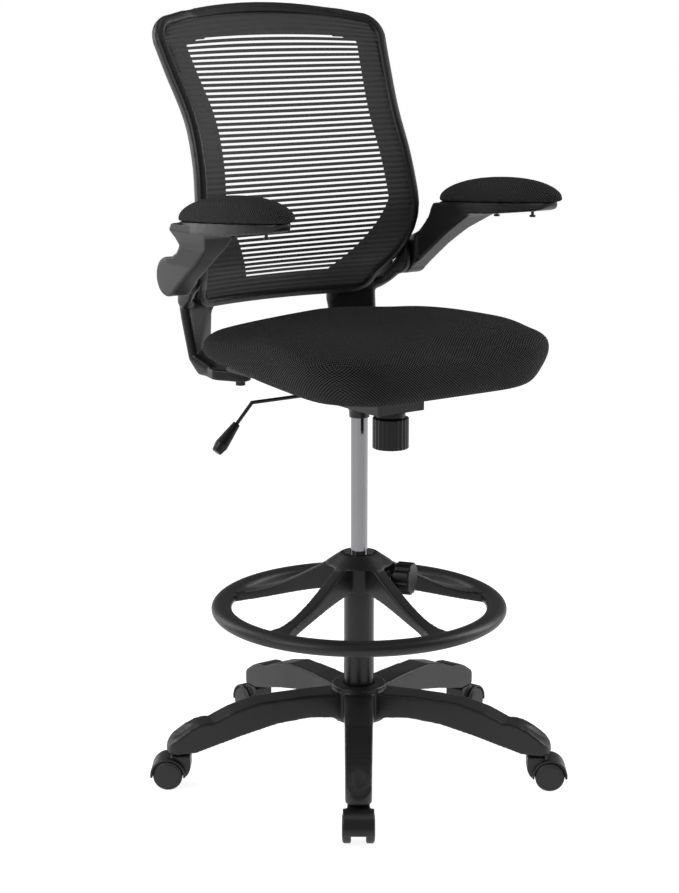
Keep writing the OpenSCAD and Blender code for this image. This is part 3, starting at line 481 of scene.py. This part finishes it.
# leg tips and casters
TIP_PAD_LENGTH = 0.052
TIP_PAD_WIDTH = 0.021
TIP_PAD_DEPTH = 0.0035
WHEEL_COVER_SHARE = 0.84
WHEEL_COVER_BULGE = 0.0012


def make_base():
    """The base, with a shallow drop-shaped pad sunk into the top of each leg's tip."""
    base = copy_of("base_star", "base_star_moulding")
    tree = BVHTree.FromObject(base, bpy.context.evaluated_depsgraph_get())
    for i in CASTERS:
        stem = Vector(JOINTS[f"caster_{i}_swivel"]["pos_m"])
        out = Vector((stem.x, stem.y, 0)).normalized()
        middle = stem - out * 0.006
        top = tree.ray_cast(Vector((middle.x, middle.y, 0.3)), Vector((0, 0, -1)))
        bpy.ops.mesh.primitive_uv_sphere_add(segments=32, ring_count=16, radius=0.5)
        pad = bpy.context.object
        up = top[1].normalized()
        along = (out - up * out.dot(up)).normalized()
        turn = Matrix((along, up.cross(along), up)).transposed().to_4x4()
        size = Matrix.Diagonal((TIP_PAD_LENGTH, TIP_PAD_WIDTH, 2 * TIP_PAD_DEPTH, 1))
        pad.matrix_world = Matrix.Translation(top[0] + up * 0.0008) @ turn @ size
        cut = base.modifiers.new("pad", "BOOLEAN")
        cut.operation = "DIFFERENCE"
        cut.object = pad
        apply_modifiers(base)
        bpy.data.objects.remove(pad)
    remesh(base, 0.002, 8)
    stand_for(base, "base_star")


def make_casters():
    """Rounded hoods, and plain domed covers on the outer faces of the wheels."""
    for i in CASTERS:
        moulded(f"caster_{i}_hood", 0.0012, 12)
        node = f"caster_{i}_wheels"
        roll = JOINTS[f"caster_{i}_roll"]
        axis, middle = Vector(roll["axis"]).normalized(), Vector(roll["pos_m"])
        points = [v.co - middle for v in frame["nodes"][node].data.vertices]
        half = max(abs(p.dot(axis)) for p in points)
        radius = max((p - axis * p.dot(axis)).length for p in points) * WHEEL_COVER_SHARE
        covers = []
        for side in (-1, 1):
            profile = [(radius, -0.0015), (radius, 0.0001), (radius * 0.97, 0.0007), (radius * 0.6, WHEEL_COVER_BULGE),
                       (0.0001, WHEEL_COVER_BULGE)]
            cover = lathe(f"caster_{i}_cover", profile, 48)
            aim = (axis * side).to_track_quat("Z", "Y").to_matrix().to_4x4()
            cover.data.transform(Matrix.Translation(middle + axis * side * half) @ aim)
            covers.append(cover)
        cover = merge(f"caster_{i}_covers", covers)
        shade(cover, 30)
        cover.data.materials.append(MATERIALS[SLOT_OF[node]])
        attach(cover, body_of(node))


def make_foot_ring():
    moulded("foot_ring", 0.002, 8)


def make_structure():
    for side in SIDES:
        moulded(f"bracket_{side}", 0.002, 14)
        moulded(f"arm_{side}_support", 0.0018, 12)
    moulded("back_frame", 0.0018, 8)


def inflate(obj, held_below, pressure, frames=18):
    """Fills the cover from inside: a cloth simulation in which the points under a height stay where they are."""
    held = obj.vertex_groups.new(name="held")
    for vertex in obj.data.vertices:
        if vertex.co.z < held_below:
            held.add([vertex.index], 1.0, "REPLACE")
    cloth = obj.modifiers.new("cover", "CLOTH").settings
    cloth.quality = 5
    cloth.mass = 0.3
    cloth.tension_stiffness = 40
    cloth.compression_stiffness = 40
    cloth.shear_stiffness = 15
    cloth.bending_stiffness = 8
    cloth.use_pressure = True
    cloth.uniform_pressure_force = pressure
    cloth.vertex_group_mass = "held"
    cloth.effector_weights.gravity = 0
    for step in range(1, frames + 1):
        bpy.context.scene.frame_set(step)
    apply_modifiers(obj)
    bpy.context.scene.frame_set(1)
    return obj


def keep_within(obj, low, high, spare=0.004):
    """No point of a soft piece stands further out of its CAD box than the spare."""
    for vertex in obj.data.vertices:
        for axis in range(3):
            vertex.co[axis] = min(max(vertex.co[axis], low[axis] - spare), high[axis] + spare)


def soft_piece(node, voxel, rounds, held_share, pressure):
    low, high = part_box(node)
    obj = copy_of(node, node + "_cover")
    remesh(obj, voxel, rounds)
    inflate(obj, low.z + (high.z - low.z) * held_share, pressure)
    keep_within(obj, low, high)
    modifier = obj.modifiers.new("even", "SMOOTH")
    modifier.factor = 0.5
    modifier.iterations = rounds
    modifier = obj.modifiers.new("fine", "SUBSURF")
    modifier.levels = modifier.render_levels = 1
    apply_modifiers(obj)
    stand_for(obj, node)
    return obj


def make_soft_pieces():
    soft_piece("seat_cushion", 0.0065, 30, 0.12, 1.8)
    for side in SIDES:
        soft_piece(f"arm_{side}_pad", 0.0032, 5, 0.2, 0.8)


class Sheet:
    """Where the thin CAD sheet of the back lies: looks along +Y at a place (x, z)."""

    def __init__(self, node):
        mesh = frame["nodes"][node].data
        self.low, self.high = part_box(node)
        self.tree = BVHTree.FromPolygons([v.co for v in mesh.vertices], [p.vertices for p in mesh.polygons])

    def hit(self, x, z):
        return self.tree.ray_cast(Vector((x, -1, z)), Vector((0, 1, 0)))[0]

    def reach(self, inside, outside, place):
        """The last point of the sheet on the way from inside to outside; place turns a number into (x, z)."""
        for _ in range(14):
            middle = (inside + outside) / 2
            if self.hit(*place(middle)):
                inside = middle
            else:
                outside = middle
        return inside

    def half(self, z):
        return self.reach(0, self.high.x + 0.01, lambda x: (x, z))

    def top(self, x):
        return self.reach(self.high.z - 0.08, self.high.z + 0.01, lambda z: (x, z))

    def point(self, x, z):
        for nudge in (0, 0.0003, -0.0003):
            found = self.hit(x + nudge, z + nudge)
            if found:
                return Vector((x, found.y, z))
        near = self.hit(x * 0.93, z) or self.hit(x * 0.93, z - 0.012) or self.hit(x * 0.93, z + 0.012)
        return self.tree.find_nearest(Vector((x, near.y if near else self.high.y, z)))[0]


def make_back_mesh():
    """The stretched mesh: slats across an open window, inside a closed ribbed border."""
    sheet = Sheet("back_mesh")
    foot = sheet.low.z + 0.0005
    crest = sheet.top(0)
    half_top = sheet.half(crest - SLAT_CROWN_DEPTH)
    drop = crest - sheet.top(0.75 * half_top)
    count = round((crest - foot) / SLAT_PITCH)
    rows = []
    for i in range(count):
        rows += [(i / count, 0.0), ((i + SLAT_SHARE / 2) / count, SLAT_BULGE),
                 ((i + SLAT_SHARE) / count, 0.0), ((i + 0.5 + SLAT_SHARE / 2) / count, -SLAT_BULGE)]
    rows.append((1.0, 0.0))
    window_low = foot + WINDOW_BOTTOM_BAND
    window_high = crest - WINDOW_TOP_BAND
    points = []
    for t, bulge in rows:
        z_mid = foot + (crest - foot) * t
        half = sheet.half(min(z_mid, crest - SLAT_CROWN_DEPTH))
        slant = min(max((z_mid - window_low) / WINDOW_CUT_HEIGHT, 0), 1)
        window = (half - WINDOW_SIDE_BAND) * (WINDOW_LOW_SHARE + (1 - WINDOW_LOW_SHARE) * slant)
        corner = min(max((z_mid - window_high + WINDOW_CORNER) / WINDOW_CORNER, 0), 1)
        window -= WINDOW_CORNER * (1 - math.sqrt(1 - corner * corner))
        across = [-half + (half - window) * j / SIDE_COLUMNS for j in range(SIDE_COLUMNS)]
        across += [-window + 2 * window * j / MIDDLE_COLUMNS for j in range(MIDDLE_COLUMNS + 1)]
        across += [window + (half - window) * (j + 1) / SIDE_COLUMNS for j in range(SIDE_COLUMNS)]
        for x in across:
            z = z_mid - drop * (x / (0.75 * half_top)) ** 2 * t ** 10
            z += SLAT_SAG * ((x / half) ** 2 - 1) * min(1, 8 * t * (1 - t))
            place = sheet.point(x, z)
            points.append((place.x, place.y - bulge, place.z))
    width = 2 * SIDE_COLUMNS + MIDDLE_COLUMNS + 1
    faces = []
    for i in range(len(rows) - 1):
        z_mid = foot + (crest - foot) * rows[i][0]
        open_row = i % 4 >= 2 and window_low < z_mid < window_high
        for j in range(width - 1):
            share = (j + 0.5 - SIDE_COLUMNS) * 2 / MIDDLE_COLUMNS - 1
            if open_row and abs(share) < 1 and z_mid < window_high - WINDOW_ARCH * share ** 2:
                continue
            a, b, c, d = i * width + j, i * width + j + 1, (i + 1) * width + j + 1, (i + 1) * width + j
            faces.append((a, b, c, d))
    obj = new_object("back_slats", points, faces)
    tidy_mesh(obj, 0.0002)
    modifier = obj.modifiers.new("cloth_thickness", "SOLIDIFY")
    modifier.thickness = CLOTH_THICKNESS
    modifier.offset = 0
    apply_modifiers(obj)
    shade(obj, 50)
    stand_for(obj, "back_mesh")


def make_small_mouldings():
    moulded("ring_knob", 0.0012, 6)
    moulded("tension_knob", 0.0011, 3)
    moulded("lever_grip", 0.0011, 6)


finish_cad_nodes()
make_camera()
make_stage()
make_base()
make_casters()
make_foot_ring()
make_structure()
make_small_mouldings()
make_soft_pieces()
make_back_mesh()
